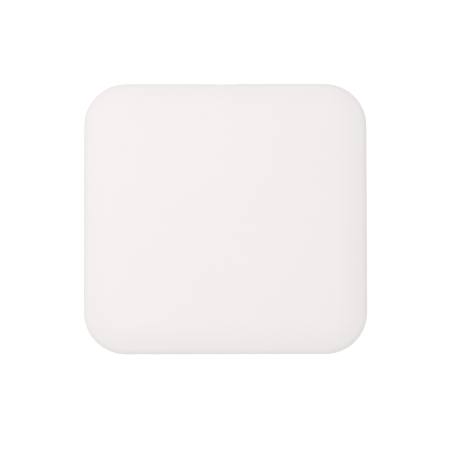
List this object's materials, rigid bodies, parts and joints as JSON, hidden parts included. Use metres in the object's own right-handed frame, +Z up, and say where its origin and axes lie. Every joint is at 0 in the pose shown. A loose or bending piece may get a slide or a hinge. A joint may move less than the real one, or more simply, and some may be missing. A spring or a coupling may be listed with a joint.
{
  "type": "wireless charging pad",
  "caption": "Slim rounded-square wireless charging pad with soft rolled edges, a silicone foot ring, a rear USB-C inlet, and a transmit coil on a ferrite disc inside.",
  "frame": {"origin": "middle of the footprint, on the surface that the pad stands on", "axes": "+X to the right along the width, +Y to the rear where the inlet is, +Z up out of the face that a device is laid on"},
  "size_m": [0.1, 0.0956, 0.01],
  "materials": {
    "case_plastic": "moulded warm-white plastic with a fine matte texture",
    "base_plastic": "moulded warm-white plastic, a little flatter than the case",
    "foot_silicone": "soft light-grey silicone, matte",
    "adhesive_tape": "thin double-sided adhesive tape",
    "screw_steel": "zinc-plated steel screws",
    "ballast_steel": "zinc-plated punched steel",
    "black_foam": "open-cell foam",
    "carrier_plastic": "moulded black plastic",
    "ferrite": "pressed and fired dark grey ferrite",
    "amber_film": "amber adhesive film",
    "litz_copper": "twisted enamelled copper strands",
    "thermal_silicone": "soft heat-conducting silicone pad",
    "black_epoxy": "dipped epoxy bead",
    "enamelled_wire": "thin enamelled wire",
    "solder_mask": "green solder mask over a glass-epoxy board",
    "solder": "bright solder",
    "shell_steel": "drawn and nickel-plated steel shell",
    "connector_plastic": "black moulded insulator",
    "gold_plate": "gold-plated contacts",
    "led_package": "white side-looking light-emitting diode",
    "clear_plastic": "clear moulded light pipe",
    "moulding_compound": "black moulded package",
    "tan_ceramic": "tan fired ceramic",
    "tantalum_case": "yellow moulded package",
    "inductor_core": "pressed metal-powder core",
    "crystal_can": "welded metal can",
    "fuse_body": "green ceramic body",
    "tin_plate": "tin-plated terminals"
  },
  "bodies": {
    "root": {"top_cover": "case_plastic", "bottom_cover": "base_plastic", "foot_ring": "foot_silicone", "foot_tape": "adhesive_tape", "case_screws": "screw_steel", "ballast_disc": "ballast_steel", "ballast_tape": "adhesive_tape", "foam_spacer": "black_foam", "coil_carrier": "carrier_plastic", "ferrite_disc": "ferrite", "coil_film": "amber_film", "coil_winding": "litz_copper", "coil_lead_inner": "litz_copper", "coil_lead_outer": "litz_copper", "sensor_pad": "thermal_silicone", "temperature_sensor": "black_epoxy", "sensor_leads": "enamelled_wire", "circuit_board": "solder_mask", "board_screws": "screw_steel", "thermal_pad": "thermal_silicone", "solder_joints": "solder", "usb_shell": "shell_steel", "usb_insulator": "connector_plastic", "usb_contacts": "gold_plate", "status_led": "led_package", "light_pipe": "clear_plastic", "controller_chip": "moulding_compound", "protocol_chip": "moulding_compound", "sense_amplifier": "moulding_compound", "voltage_regulator": "moulding_compound", "bridge_transistors": "moulding_compound", "resonant_capacitors": "tan_ceramic", "bulk_capacitors": "tantalum_case", "power_inductor": "inductor_core", "crystal": "crystal_can", "shunt_resistor": "moulding_compound", "input_fuse": "fuse_body", "surge_diode": "moulding_compound", "chip_resistors": "moulding_compound", "chip_capacitors": "tan_ceramic", "component_leads": "tin_plate"}
  },
  "joints": []
}
